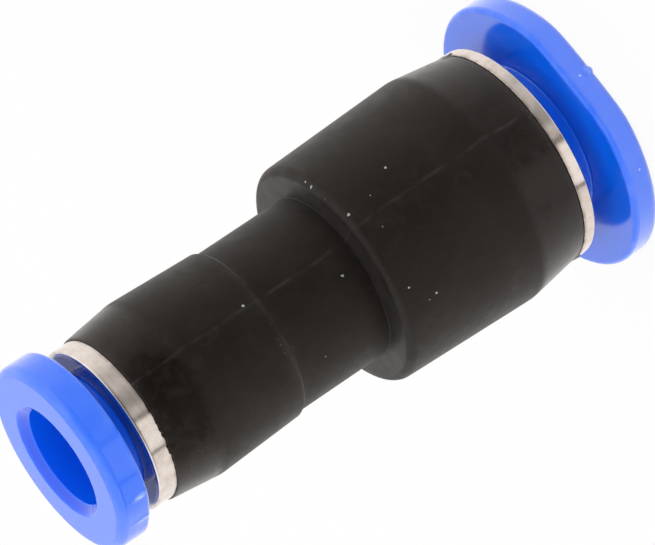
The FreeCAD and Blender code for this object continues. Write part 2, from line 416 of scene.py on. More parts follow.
def moulded_skin(tree, grain_size, mottle_size, scratch_size):
    """The shared skin group placed in a material with this piece's sizes in millimetres."""
    return wire(tree, "ShaderNodeGroup", {
        "Grain Size mm": grain_size, "Mottle Size mm": mottle_size, "Scratch Size mm": scratch_size},
        node_tree=skin).outputs


def read_value(tree, label):
    """A value that the piece's mesh carries at its points."""
    return wire(tree, "ShaderNodeAttribute", attribute_name=label).outputs["Fac"]


# Edge wear is shared by the body and the sleeves: the mesh's edge value times a share, which rises from the
# least to the most as the mottling goes from low to high. On the body's step edge the lighter edge is a
# painted highlight.
edge_wear, wear_in, wear_out = new_group(
    "edge wear",
    [("Edge", 0.0), ("Mottle", 0.5), ("Mottle Low", 0.25), ("Mottle High", 1.0), ("Least", 0.0),
     ("Most", 0.5)],
    ["Wear"],
)
wear_ends = [wear_in.outputs[label] for label in ("Mottle Low", "Mottle High", "Least", "Most")]
worn_share = ramp(edge_wear, wear_in.outputs["Mottle"], *wear_ends)
edge_wear.links.new(math_node(edge_wear, "MULTIPLY", wear_in.outputs["Edge"], worn_share),
                    wear_out.inputs["Wear"])


def worn_edges(tree, mottle, low, high, least, most):
    """The shared edge wear group placed in a material with this piece's values."""
    return wire(tree, "ShaderNodeGroup", {
        "Edge": read_value(tree, "edge"), "Mottle": mottle, "Mottle Low": low, "Mottle High": high,
        "Least": least, "Most": most}, node_tree=edge_wear).outputs["Wear"]


# A fleck of loose dust is shared by the body and the sleeves. It is a ragged rod of space that leaves the
# axis at its azimuth and height, so it marks whatever surface it meets: a point is in it where its distance
# from the rod's line is under the rod's reach.
fleck_white = (0.34, 0.34, 0.32, 1)
ragged_per_mm = 9
fleck, fleck_in, fleck_out = new_group(
    "dust fleck", [("Azimuth Degrees", 0.0), ("Height mm", 0.0), ("Size mm", 0.05)], ["Fleck"])
fleck_place = fleck.nodes.new("ShaderNodeTexCoord").outputs["Object"]
parts = wire(fleck, "ShaderNodeSeparateXYZ", {0: fleck_place}).outputs
ragged = wire(fleck, "ShaderNodeTexNoise", {
    "Vector": fleck_place, "Scale": ragged_per_mm / mm, "Detail": 1.0}).outputs["Fac"]
angle = math_node(fleck, "RADIANS", fleck_in.outputs["Azimuth Degrees"])
sine, cosine = math_node(fleck, "SINE", angle), math_node(fleck, "COSINE", angle)
beside = math_node(fleck, "SUBTRACT", math_node(fleck, "MULTIPLY", parts["X"], sine),
                   math_node(fleck, "MULTIPLY", parts["Y"], cosine))
outwards = math_node(fleck, "ADD", math_node(fleck, "MULTIPLY", parts["X"], cosine),
                     math_node(fleck, "MULTIPLY", parts["Y"], sine))
fleck_height = math_node(fleck, "MULTIPLY", fleck_in.outputs["Height mm"], mm)
away = wire(fleck, "ShaderNodeCombineXYZ", {
    "X": beside, "Y": math_node(fleck, "SUBTRACT", parts["Z"], fleck_height),
    "Z": math_node(fleck, "MINIMUM", outwards, 0.0)}).outputs[0]
distance = wire(fleck, "ShaderNodeVectorMath", {0: away}, operation="LENGTH").outputs["Value"]
fleck_width = math_node(fleck, "MULTIPLY", fleck_in.outputs["Size mm"], 2 * mm)
fleck_reach = math_node(fleck, "MULTIPLY", ragged, fleck_width)
fleck.links.new(math_node(fleck, "LESS_THAN", distance, fleck_reach), fleck_out.inputs["Fleck"])


def dust_flecks(tree, flecks):
    """A mask of loose dust: the largest of the shared fleck group, placed once for each listed fleck."""
    mask = 0.0
    for azimuth, height, size in flecks:
        placed = wire(tree, "ShaderNodeGroup", {
            "Azimuth Degrees": azimuth, "Height mm": height, "Size mm": size}, node_tree=fleck)
        mask = math_node(tree, "MAXIMUM", mask, placed.outputs["Fleck"])
    return mask


body_plastic, tree, shader, place = new_material("body plastic")
marks = moulded_skin(tree, grain_size=0.045, mottle_size=2.6, scratch_size=2.2)
nylon_black = (0.0042, 0.0025, 0.0018, 1)
nylon_grey = (0.0098, 0.0073, 0.0061, 1)
edge_grey = (0.042, 0.036, 0.033, 1)
smudges_per_mm = 1.1
parting_gaps_per_mm = 0.45
crumbs_per_mm = 3.4
shader.inputs["Specular IOR Level"].default_value = 0.33
shader.inputs["Sheen Weight"].default_value = 0.17
shader.inputs["Sheen Roughness"].default_value = 0.32
shader.inputs["Sheen Tint"].default_value = (1.0, 0.94, 0.88, 1)
shader.inputs["Specular Tint"].default_value = (1.0, 0.89, 0.82, 1)
# The lighter edges are wear, and at the step a painted highlight against the shade line there.
worn_and_lit = worn_edges(tree, marks["Mottle"], low=0.25, high=0.9, least=0.1, most=0.6)
tone = blend_colors(tree, ramp(tree, marks["Mottle"], 0.2, 1.0, 0.0, 0.5), nylon_black, nylon_grey)
tone = blend_colors(tree, worn_and_lit, tone, edge_grey)
smudges = wire(tree, "ShaderNodeTexNoise", {
    "Vector": place, "Scale": smudges_per_mm / mm, "Detail": 6.0, "Roughness": 0.65,
    "Distortion": 0.6}).outputs["Fac"]
tone = blend_colors(tree, ramp(tree, smudges, 0.50, 0.78, 0.0, 0.22), tone, edge_grey)
parting_gaps = wire(tree, "ShaderNodeTexNoise", {
    "Vector": place, "Scale": parting_gaps_per_mm / mm, "Detail": 2.0})
parting_shows = ramp(tree, parting_gaps.outputs["Fac"], 0.38, 0.62, 0.10, 0.55)
parting_share = math_node(tree, "MULTIPLY", read_value(tree, "parting"), parting_shows)
tone = blend_colors(tree, parting_share, tone, edge_grey)
tone = blend_colors(tree, math_node(tree, "MULTIPLY", marks["Scratches"], 0.35), tone, edge_grey)
barrel_flecks = [
    (-93, 18.5, 0.07), (-75, 24.4, 0.08), (-62, 13.2, 0.07), (-114, 16.1, 0.06), (-124, 14.7, 0.07),
    (-70.5, 16.7, 0.09), (-45.7, 16.95, 0.07), (-41, 16.93, 0.05), (-84, 15.6, 0.03), (-69, 15.0, 0.03),
    (-125, 15.2, 0.03), (-131.5, 21.5, 0.04), (66, 9.0, 0.06), (140, 12.4, 0.05),
]
body_flecks = dust_flecks(tree, barrel_flecks)
crumbs = wire(tree, "ShaderNodeTexVoronoi", {"Vector": place, "Scale": crumbs_per_mm / mm})
crumb_mask = math_node(tree, "MULTIPLY", ramp(tree, crumbs.outputs["Distance"], 0.10, 0.16, 1.0, 0.0),
                       ramp(tree, parting_gaps.outputs["Fac"], 0.50, 0.62))
near_edge = ramp(tree, read_value(tree, "edge"), 0.10, 0.45, 0.0, 0.40)
crumb_mask = math_node(tree, "MULTIPLY", crumb_mask, near_edge)
body_flecks = math_node(tree, "MAXIMUM", body_flecks, crumb_mask)
tone = blend_colors(tree, body_flecks, tone, fleck_white)
tree.links.new(tone, shader.inputs["Base Color"])
matt = ramp(tree, smudges, 0.25, 0.75, 0.46, 0.66)
polished = ramp(tree, smudges, 0.25, 0.75, 0.20, 0.38)
polish_share = read_value(tree, "polish")
roughness = math_node(tree, "ADD", math_node(tree, "MULTIPLY", polished, polish_share),
                      math_node(tree, "MULTIPLY", matt, math_node(tree, "SUBTRACT", 1.0, polish_share)))
tree.links.new(roughness, shader.inputs["Roughness"])
grain_depth = ramp(tree, polish_share, 0.0, 1.0, 1.0, 0.25)
body_height = math_node(tree, "SUBTRACT", math_node(tree, "MULTIPLY", marks["Grain"], grain_depth),
                        math_node(tree, "MULTIPLY", marks["Scratches"], 0.6))
body_bump = wire(tree, "ShaderNodeBump", {"Height": body_height, "Strength": 0.75, "Distance": 0.014 * mm})
tree.links.new(body_bump.outputs[0], shader.inputs["Normal"])
body.data.materials.append(body_plastic)
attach(body, "fitting_body")
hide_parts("body")

# Lip seals
# Black nitrile rubber rings on the shoulder of each socket, moulded with one lip against the socket and one
# that closes on the tube. Their skin is dull, with a talc bloom.
seal_rubber, tree, shader, place = new_material("seal rubber")
marks = moulded_skin(tree, grain_size=0.08, mottle_size=0.9, scratch_size=1.5)
rubber_black = (0.012, 0.012, 0.013, 1)
talc_grey = (0.060, 0.060, 0.062, 1)
tree.links.new(blend_colors(tree, ramp(tree, marks["Mottle"], 0.45, 1.0, 0.0, 0.4), rubber_black, talc_grey),
               shader.inputs["Base Color"])
tree.links.new(ramp(tree, marks["Mottle"], 0.0, 1.0, 0.55, 0.80), shader.inputs["Roughness"])
seal_bump = wire(tree, "ShaderNodeBump", {"Height": marks["Grain"], "Strength": 0.5, "Distance": 0.015 * mm})
tree.links.new(seal_bump.outputs[0], shader.inputs["Normal"])

# Backing rings
# White acetal spacers between the seal and the grip ring, moulded with a cone that clears the teeth. They
# keep the mould's satin face and a little rubber dust.
backing_plastic, tree, shader, place = new_material("backing plastic")
marks = moulded_skin(tree, grain_size=0.06, mottle_size=1.2, scratch_size=1.8)
acetal_white = (0.72, 0.71, 0.67, 1)
dust_grey = (0.42, 0.40, 0.37, 1)
tree.links.new(blend_colors(tree, ramp(tree, marks["Mottle"], 0.35, 1.0, 0.0, 0.5), acetal_white, dust_grey),
               shader.inputs["Base Color"])
tree.links.new(ramp(tree, marks["Mottle"], 0.0, 1.0, 0.32, 0.48), shader.inputs["Roughness"])
backing_bump = wire(tree, "ShaderNodeBump", {
    "Height": marks["Grain"], "Strength": 0.3, "Distance": 0.01 * mm})
tree.links.new(backing_bump.outputs[0], shader.inputs["Normal"])

# Grip rings
# Spring steel rings punched and coined so that their teeth slant down the bore and bite the tube. The strip
# has rolling lines across it and a faint straw tint from hardening.

# Tool lines are shared by both metals: noise on a place that is multiplied along each axis, so that it
# becomes fine lines across the axis with the largest factor.
tool_lines, lines_in, lines_out = new_group(
    "tool lines",
    [("Squeeze X", 1.0), ("Squeeze Y", 1.0), ("Squeeze Z", 1.0), ("Lines per mm", 1.0), ("Detail", 4.0)],
    ["Lines"],
)
squeeze = wire(tool_lines, "ShaderNodeCombineXYZ", {
    axis: lines_in.outputs["Squeeze " + axis] for axis in ("X", "Y", "Z")}).outputs[0]
lines_place = tool_lines.nodes.new("ShaderNodeTexCoord").outputs["Object"]
lines_place = wire(tool_lines, "ShaderNodeVectorMath", {0: lines_place, 1: squeeze}, operation="MULTIPLY")
lines_noise = wire(tool_lines, "ShaderNodeTexNoise", {
    "Vector": lines_place.outputs[0], "Detail": lines_in.outputs["Detail"], "Roughness": 0.7,
    "Scale": math_node(tool_lines, "MULTIPLY", lines_in.outputs["Lines per mm"], 1 / mm)})
tool_lines.links.new(lines_noise.outputs["Fac"], lines_out.inputs["Lines"])


def lines_of_tool(tree, squeeze, per_mm, detail):
    """The shared tool lines group placed in a material, with this metal's factors and fineness."""
    return wire(tree, "ShaderNodeGroup", {
        "Squeeze X": squeeze[0], "Squeeze Y": squeeze[1], "Squeeze Z": squeeze[2],
        "Lines per mm": per_mm, "Detail": detail}, node_tree=tool_lines).outputs["Lines"]


grip_steel, tree, shader, place = new_material("grip steel")
steel_grey = (0.56, 0.55, 0.53, 1)
straw_tint = (0.50, 0.44, 0.34, 1)
rolling_per_mm = 2
tint_per_mm = 0.4
rolling = lines_of_tool(tree, squeeze=(1.0, 24.0, 1.0), per_mm=rolling_per_mm, detail=4.0)
tint = wire(tree, "ShaderNodeTexNoise", {
    "Vector": place, "Scale": tint_per_mm / mm, "Detail": 2.0}).outputs["Fac"]
tree.links.new(blend_colors(tree, ramp(tree, tint, 0.4, 0.7), steel_grey, straw_tint),
               shader.inputs["Base Color"])
shader.inputs["Metallic"].default_value = 1.0
tree.links.new(ramp(tree, rolling, 0.3, 0.7, 0.18, 0.38), shader.inputs["Roughness"])
rolling_bump = wire(tree, "ShaderNodeBump", {"Height": rolling, "Strength": 0.4, "Distance": 0.004 * mm})
tree.links.new(rolling_bump.outputs[0], shader.inputs["Normal"])

inner_finish = {"seal": seal_rubber, "backing_ring": backing_plastic, "grip_ring": grip_steel}
for end in ("large", "small"):
    for part, material in inner_finish.items():
        inner = nodes[end + "_" + part]
        inner.data.materials.clear()
        inner.data.materials.append(material)

# Release sleeves
# Blue acetal sleeves that ride in the guide rings. Each has a round flange to press, a countersunk mouth
# for the tube, and four slit fingers whose barbs hook behind the guide ring's lip. The rim has a flat at the
# gate, where the sprue broke off: a nub on the large flange, torn marks on the small one.
overall_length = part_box("small_release_sleeve")[1].z
sleeve_sizes = {
    "large": {
        "bore": large_bore_radius, "hub": 4.85 * mm, "barb": 5.25 * mm, "flange": 8.60 * mm,
        "thickness": 1.80 * mm, "edge": 0.55 * mm, "slot_start": 3.50 * mm, "barb_front": 4.90 * mm,
        "nose_back": 8.36 * mm, "flat": 8.06 * mm, "gate_azimuth": math.radians(-78.5),
        "gate_height": 0.17 * mm, "torn_places": [], "scuff_and_glint_share": 0.42, "scuff_front": 0.0, "rim_highlight_share": 0.85,
    },
    "small": {
        "bore": small_bore_radius, "hub": 3.70 * mm, "barb": 3.98 * mm, "flange": 5.95 * mm,
        "thickness": 2.10 * mm, "edge": 0.55 * mm, "slot_start": 3.35 * mm, "barb_front": 4.75 * mm,
        "nose_back": 8.21 * mm, "flat": 5.87 * mm, "gate_azimuth": math.radians(205.0),
        "gate_height": 0.0, "torn_places": [0.0, 2.15 * mm], "scuff_and_glint_share": 1.0, "scuff_front": 0.8 * mm,
        "rim_highlight_share": 0.38,
    },
}
mouth_chamfer_radial = 0.50 * mm
mouth_chamfer_depth = 0.50 * mm
mouth_corner = 0.10 * mm
bore_corner = 0.10 * mm
flange_back_edge = 0.32 * mm
hub_root = 0.12 * mm
collar_spacing = 0.12 * mm
collar_end = 0.15 * mm
barb_land = 0.30 * mm
barb_length = 1.00 * mm
barb_edge = 0.03 * mm
nose_length = 1.10 * mm
nose_tip_wall = 0.30 * mm
slot_width = 0.80 * mm
finger_count = 4
finger_columns = 108
slot_end_rows = 7
run_points = 4
flat_softness = 0.022
flat_margin = 0.5 * mm
face_band = 0.01 * mm
rim_edge_share = 0.6
gate_depth = 0.30 * mm
gate_radius = 0.24 * mm
gate_foot = 1.5
torn_depth = 1.45 * mm
torn_pitch = 0.11 * mm
torn_mean_share = 0.5
torn_shred_share = 0.3
torn_cross_share = 0.2
torn_cross_count = 2.3
torn_height = 0.11 * mm
torn_length = 0.45 * mm
torn_width = 0.26 * mm
scuff_full_height = 0.09 * mm
sleeve_wear_reach = 0.3 * mm
rim_back_band = 0.35 * mm
rim_back_blend = 0.25 * mm
mouth_blend = 0.15 * mm
bore_margin = 0.05 * mm


def finger_rows(sizes):
    """Outer points from the slots' round end to the nose, and as many inner points back along the bore.

    Down the slot's round end both follow the same heights, half the slot's width times one minus the cosine
    of a quarter turn's shares, so that the slot's wall is a strip of quads between them.
    """
    start = sizes["slot_start"]
    round_end = slot_width / 2 * (1 - np.cos(np.linspace(0, math.pi / 2, slot_end_rows)))
    tail = [
        (sizes["hub"], sizes["barb_front"] - start),
        (sizes["barb"] - barb_edge, sizes["barb_front"] - start),
        (sizes["barb"], sizes["barb_front"] + barb_edge - start),
        (sizes["barb"], sizes["barb_front"] + barb_land - start),
        (sizes["hub"], sizes["barb_front"] + barb_length - start),
        (sizes["hub"], sizes["nose_back"] - nose_length - start),
        (sizes["bore"] + nose_tip_wall, sizes["nose_back"] - start),
    ]
    dense = [np.array(tail[0])[None]]
    for before, after in zip(tail, tail[1:]):
        dense.append(np.linspace(before, after, run_points)[1:])
    tail = np.concatenate(dense)
    outer = np.concatenate([np.stack([np.full(slot_end_rows, sizes["hub"]), round_end], axis=1), tail])
    along_bore = np.linspace(round_end[-1], sizes["nose_back"] - start, len(tail) + 1)[1:]
    depths = np.concatenate([round_end, along_bore])
    inner = np.stack([np.full(len(outer), sizes["bore"]), depths], axis=1)
    return outer + [0, start], inner[::-1] + [0, start]


def sleeve_piece(end, sizes):
    """One sleeve: each quarter is its outline carried across the finger, and slots part the quarters.

    A point's turn is the quarter's centre plus its share of half a quarter, less the angle whose sine is the
    slot's half width over the radius. Walls close each finger's sides. At the gate the flange's radii shrink
    in proportion, to the soft minimum of the circle and a chord, and the broken gate stands on that flat. It
    never stands before the flange's end face. The rim value marks where the flange's rim is painted paler as
    a painted highlight, and the mouth value the countersink, which is painted darker as painted shade.
    """
    bore, flange, thickness = sizes["bore"], sizes["flange"], sizes["thickness"]
    collar_corners = [
        (bore, sizes["slot_start"] - collar_end, 0),
        (bore, mouth_chamfer_depth, bore_corner),
        (bore + mouth_chamfer_radial, 0, mouth_corner),
        (flange, 0, sizes["edge"]),
        (flange, thickness, flange_back_edge),
        (sizes["hub"], thickness, hub_root),
        (sizes["hub"], sizes["slot_start"] - collar_end, 0),
    ]
    collar, _ = rounded_outline(collar_corners, collar_spacing)
    closing = np.argmax(np.all(np.isclose(collar, collar_corners[-1][:2]), axis=1))
    collar = collar[:closing + 1]
    outer, inner = finger_rows(sizes)
    outline = np.concatenate([collar, outer, inner])
    rows = len(outline)
    first_outer, count = len(collar), len(outer)

    past = outline[:, 1] - sizes["slot_start"]
    past[:first_outer] = 0
    gap = slot_width / 2 * np.sqrt(np.clip(1 - np.clip(1 - past / (slot_width / 2), 0, 1) ** 2, 0, 1))
    quarter = 2 * math.pi / finger_count
    share = np.linspace(-1, 1, finger_columns)
    half = quarter / 2 - np.arcsin(gap / outline[:, 0])
    centres = (np.arange(finger_count) + 0.5) * quarter
    turns = centres[:, None, None] + half[None, :, None] * share[None, None, :]

    normals = outward(outline)
    turns = turns if end == "large" else -turns
    from_gate = turn_from(turns, sizes["gate_azimuth"])
    chord = sizes["flat"] / np.cos(np.clip(from_gate, -1, 1))
    shrink = -flat_softness * np.logaddexp(-chord / flange / flat_softness, -1 / flat_softness)
    inner_radius = bore + mouth_chamfer_radial + flat_margin
    share_out = np.clip((outline[:, 0] - inner_radius) / (flange - inner_radius), 0, 1)
    share_out = share_out * (outline[:, 1] < thickness + face_band)
    radius = outline[:, 0][None, :, None] - flange * (1 - shrink) * share_out[None, :, None]
    on_rim = outline[:, 0] > flange - rim_edge_share * sizes["edge"]
    depths = outline[:, 1][None, :, None]
    around = from_gate * sizes["flat"]
    gate = np.clip(gate_foot - np.hypot(depths - gate_depth, around) / gate_radius, 0, 1)
    nub = sizes["gate_height"] * gate ** 2 * (3 - 2 * gate)
    lengthwise = np.exp(-((depths - torn_depth) / torn_length) ** 2)
    shred = torn_mean_share + torn_shred_share * np.sin(around / torn_pitch)
    shred = shred + torn_cross_share * np.sin((torn_cross_count * around + depths) / torn_pitch)
    for torn_place in sizes["torn_places"]:
        nub = nub + torn_height * lengthwise * np.exp(-((around - torn_place) / torn_width) ** 2) * shred
    nub = nub * on_rim[None, :, None]
    radius = radius + normals[:, 0][None, :, None] * nub
    depth = np.maximum(outline[:, 1][None, :, None] + normals[:, 1][None, :, None] * nub, 0)
    height = depth if end == "large" else overall_length - depth
    points = np.stack([radius * np.cos(turns), radius * np.sin(turns), height + 0 * turns], axis=-1)

    index = np.arange(finger_count * rows * finger_columns).reshape(finger_count, rows, finger_columns)
    joined = gap <= 0
    index[:, joined, -1] = np.roll(index[:, joined, 0], -1, axis=0)
    below = np.roll(index, -1, axis=1)
    skin_quads = np.stack([index[..., :-1], below[..., :-1], below[..., 1:], index[..., 1:]], axis=-1)
    outer_rows = first_outer + np.arange(count)
    inner_rows = first_outer + 2 * count - 1 - np.arange(count)
    walls = []
    for column, flip in ((0, -1), (-1, 1)):
        out_edge = index[:, outer_rows, column]
        in_edge = index[:, inner_rows, column]
        wall = np.stack([out_edge[:, :-1], out_edge[:, 1:], in_edge[:, 1:], in_edge[:, :-1]], axis=-1)
        walls.append(wall[..., ::flip].reshape(-1, 4))
    quads = np.concatenate([skin_quads.reshape(-1, 4)] + walls)
    kept, quads = np.unique(quads, return_inverse=True)
    quads = quads.reshape(-1, 4)
    wear = np.exp(-from_corner(outline, collar_corners[3:5]) / sleeve_wear_reach)
    # Paler paint on the gate nub and torn marks: partly whitened broken plastic, partly a painted glint.
    scuffed_and_glint = sizes["scuff_and_glint_share"] * np.clip(nub / scuff_full_height, 0, 1) * (depths > sizes["scuff_front"])
    behind = np.clip((outline[:, 1] - thickness + rim_back_band) / rim_back_blend, 0, 1)
    # The rim's painted highlight: paler paint on the rim, fading out towards the back face.
    rim = sizes["rim_highlight_share"] * on_rim * (1 - behind)
    # The mouth value marks the countersink, which is painted darker as painted shade in the recess.
    mouth = np.clip((bore + mouth_chamfer_radial - outline[:, 0]) / mouth_blend, 0, 1)
    mouth = mouth * (outline[:, 1] < thickness) * (outline[:, 0] > bore + bore_margin)
    values = {"edge": wear[:, None], "scuffed_and_glint": scuffed_and_glint, "rim": rim[:, None], "mouth": mouth[:, None]}
    values = {
        label: np.broadcast_to(value, turns.shape).reshape(-1)[kept] for label, value in values.items()
    }
    return make_piece(end + "_sleeve", points.reshape(-1, 3)[kept], quads, None, values)


sleeve_plastic, tree, shader, place = new_material("sleeve plastic")
marks = moulded_skin(tree, grain_size=0.09, mottle_size=2.0, scratch_size=1.6)
acetal_blue = (0.003, 0.150, 0.99, 1)
acetal_deep = (0.002, 0.130, 0.95, 1)
rubbed_and_glint_blue = (0.24, 0.40, 0.95, 1)
rim_highlight_blue = (0.10, 0.235, 0.97, 1)
mouth_shade_blue = (0.001, 0.075, 0.78, 1)
torn_glint_pale = (0.42, 0.60, 1.0, 1)
rubbed_and_glint = worn_edges(tree, marks["Mottle"], low=0.4, high=1.0, least=0.0, most=0.5)
rubbed_and_glint = math_node(tree, "MAXIMUM", rubbed_and_glint, math_node(tree, "MULTIPLY", marks["Scratches"], 0.4))
rubbed_and_glint = math_node(tree, "MAXIMUM", rubbed_and_glint, math_node(tree, "MULTIPLY", read_value(tree, "scuffed_and_glint"), 0.9))
flange_flecks = [(-78.5, 0.9, 0.07), (-122.7, 0.8, 0.06), (96, 1.2, 0.06)]
fleck_pale = (0.45, 0.55, 0.95, 1)
blue = blend_colors(tree, ramp(tree, marks["Mottle"], 0.2, 0.9, 0.0, 0.6), acetal_blue, acetal_deep)
# Painted highlight: the rim is painted a paler blue, in place of the bright surroundings' sheen on it.
blue = blend_colors(tree, read_value(tree, "rim"), blue, rim_highlight_blue)
# Painted shade: the countersink is painted a darker, deeper blue.
blue = blend_colors(tree, math_node(tree, "MULTIPLY", read_value(tree, "mouth"), 0.75), blue, mouth_shade_blue)
blue = blend_colors(tree, rubbed_and_glint, blue, rubbed_and_glint_blue)
# The torn marks and the nub are painted near white: whitened plastic and a painted glint together.
blue = blend_colors(tree, ramp(tree, read_value(tree, "scuffed_and_glint"), 0.35, 1.0, 0.0, 0.85), blue, torn_glint_pale)
blue = blend_colors(tree, dust_flecks(tree, flange_flecks), blue, fleck_pale)
tree.links.new(blue, shader.inputs["Base Color"])
satin = ramp(tree, marks["Mottle"], 0.0, 1.0, 0.10, 0.18)
tree.links.new(math_node(tree, "ADD", satin, math_node(tree, "MULTIPLY", read_value(tree, "rim"), 0.20)),
               shader.inputs["Roughness"])
shader.inputs["Coat Weight"].default_value = 0.95
shader.inputs["Coat Roughness"].default_value = 0.09
shader.inputs["Specular IOR Level"].default_value = 0.18
shader.inputs["Subsurface Weight"].default_value = 0.4
shader.inputs["Subsurface Radius"].default_value = (0.3, 0.5, 1.0)
shader.inputs["Subsurface Scale"].default_value = 0.5 * mm
sleeve_height = math_node(tree, "SUBTRACT",
                          math_node(tree, "MULTIPLY", marks["Grain"], 0.5), marks["Scratches"])
sleeve_bump = wire(tree, "ShaderNodeBump", {
    "Height": sleeve_height, "Strength": 0.25, "Distance": 0.008 * mm})
tree.links.new(sleeve_bump.outputs[0], shader.inputs["Normal"])
for end, sizes in sleeve_sizes.items():
    sleeve = sleeve_piece(end, sizes)
    sleeve.data.materials.append(sleeve_plastic)
    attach(sleeve, end + "_sleeve")
    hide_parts(end + "_release_sleeve")

# Guide rings
# Turned brass rings with nickel plating, pressed into the body's mouths, where saw-tooth ridges hold them.
# A bright band stays outside the body, with fine turning lines, and the lip behind it keeps the sleeve in.
ring_sizes = {
    "large": {"band": 6.92 * mm, "lip": 4.93 * mm, "recess": 5.37 * mm, "socket": large_socket_radius,
              "front": 3.30 * mm, "mouth": 4.15 * mm, "lip_back": 4.80 * mm, "back": 8.40 * mm},
    "small": {"band": 5.18 * mm, "lip": 3.78 * mm, "recess": 4.10 * mm, "socket": small_socket_radius,
              "front": 3.15 * mm, "mouth": 4.40 * mm, "lip_back": 4.65 * mm, "back": 8.25 * mm},
}
band_edge = 0.16 * mm
ring_corner = 0.04 * mm
ridge_count = 3
ridge_height = 0.12 * mm
ridge_plain_end = 0.40 * mm
ring_spacing = 0.20 * mm
ring_columns = 360
joint_shade_reach = 0.07 * mm


def ring_piece(end, sizes):
    """One guide ring: band, saw-tooth ridges, recess and lip in one outline, turned once about the axis."""
    corners = [
        (sizes["lip"], sizes["front"], 2 * ring_corner),
        (sizes["band"], sizes["front"], band_edge),
        (sizes["band"], sizes["mouth"], ring_corner),
        (sizes["socket"], sizes["mouth"], ring_corner),
    ]
    first = sizes["mouth"] + ridge_plain_end
    pitch = (sizes["back"] - ridge_plain_end - first) / ridge_count
    corners.append((sizes["socket"], first, 0))
    for i in range(ridge_count):
        corners.append((sizes["socket"] + ridge_height, first + i * pitch, 0))
        corners.append((sizes["socket"], first + (i + 1) * pitch, 0))
    corners += [
        (sizes["socket"], sizes["back"], ring_corner),
        (sizes["recess"], sizes["back"], ring_corner),
        (sizes["recess"], sizes["lip_back"], ring_corner),
        (sizes["lip"], sizes["lip_back"], ring_corner),
    ]
    outline, sharp = rounded_outline(corners, ring_spacing)
    # Painted shade: a brown line along the band's edge where the ring meets the body's mouth.
    joint_shade = np.exp(-from_corner(outline, corners[2:3]) / joint_shade_reach)
    # The front value marks the ring's front face under the sleeve's flange, painted darker as painted shade.
    front = (outline[:, 0] < sizes["band"] - band_edge) * (outline[:, 1] < sizes["front"] + face_band)
    turns = np.linspace(-math.pi, math.pi, ring_columns, endpoint=False)
    if end == "small":
        outline = outline * [1, -1] + [0, overall_length]
    all_round = np.ones(len(turns))
    return turned_piece(end + "_ring", outline, sharp, turns,
                        values={"joint_shade": np.outer(joint_shade, all_round), "front": np.outer(front, all_round)})


ring_nickel, tree, shader, place = new_material("ring nickel")
nickel_bright = (0.75, 0.68, 0.635, 1)
nickel_warm = (0.62, 0.53, 0.475, 1)
handled_grey = (0.38, 0.34, 0.31, 1)
front_shade_grey = (0.22, 0.22, 0.27, 1)
joint_shade_brown = (0.14, 0.085, 0.055, 1)
turning_per_mm = 0.5
plating_per_mm = 1.2
specks_per_mm = 2.6
turning = lines_of_tool(tree, squeeze=(0.5, 0.5, 60.0), per_mm=turning_per_mm, detail=5.0)
plating = wire(tree, "ShaderNodeTexNoise", {
    "Vector": place, "Scale": plating_per_mm / mm, "Detail": 5.0, "Roughness": 0.6}).outputs["Fac"]
specks = wire(tree, "ShaderNodeTexVoronoi", {"Vector": place, "Scale": specks_per_mm / mm})
pits = math_node(tree, "MULTIPLY", ramp(tree, specks.outputs["Distance"], 0.06, 0.12, 1.0, 0.0),
                 ramp(tree, plating, 0.5, 0.58))
metal = blend_colors(tree, ramp(tree, plating, 0.4, 0.65, 0.0, 0.8), nickel_bright, nickel_warm)
handled = math_node(tree, "MULTIPLY", ramp(tree, turning, 0.55, 0.75), 0.35)
metal = blend_colors(tree, handled, metal, handled_grey)
metal = blend_colors(tree, math_node(tree, "MULTIPLY", pits, 0.6), metal, handled_grey)
# Painted shade and painted reflection: the front face is painted a dark blue-grey, as it looks in the gap.
metal = blend_colors(tree, read_value(tree, "front"), metal, front_shade_grey)
# Painted shade in the joint with the body, varied by the plating noise.
joint_shade_share = math_node(tree, "MULTIPLY", read_value(tree, "joint_shade"), ramp(tree, plating, 0.35, 0.6, 0.3, 1.0))
metal = blend_colors(tree, joint_shade_share, metal, joint_shade_brown)
tree.links.new(metal, shader.inputs["Base Color"])
shader.inputs["Metallic"].default_value = 1.0
tree.links.new(ramp(tree, turning, 0.3, 0.7, 0.07, 0.17), shader.inputs["Roughness"])
ring_bump = wire(tree, "ShaderNodeBump", {
    "Height": math_node(tree, "SUBTRACT", turning, pits), "Strength": 0.35, "Distance": 0.003 * mm})
tree.links.new(ring_bump.outputs[0], shader.inputs["Normal"])
for end, sizes in ring_sizes.items():
    ring = ring_piece(end, sizes)
    ring.data.materials.append(ring_nickel)
    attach(ring, "fitting_body")
    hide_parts(end + "_guide_ring")

# Studio
# A pale table and a white tent, which is dimmer on the side that the camera looks through. Gloss and metal
# see the table in lighter and darker sectors, which stand for white and dark cards round the fitting.
view_elevation = math.radians(21.2)
view_roll = math.radians(-123.9)
view_distance = 337.5 * mm
view_aim = np.array([0.335, -0.882, 17.44]) * mm
frame_width = 655
focal_pixels = 6000
camera_data = bpy.data.cameras.new("camera")
camera_data.sensor_width = 36.0
camera_data.lens = focal_pixels / frame_width * camera_data.sensor_width
camera_data.clip_start = 10 * mm
camera_data.clip_end = 5.0
camera = bpy.data.objects.new("camera", camera_data)
looking = np.array([0.0, math.cos(view_elevation), -math.sin(view_elevation)])
camera.rotation_mode = "XYZ"
camera.rotation_euler = (math.pi / 2 - view_elevation, 0, 0)
bpy.context.scene.collection.objects.link(camera)
turned = camera.rotation_euler.to_matrix().to_4x4()
turned.translation = view_aim - looking * view_distance
camera.matrix_world = turned @ Matrix.Rotation(view_roll, 4, "Z")
bpy.context.scene.camera = camera

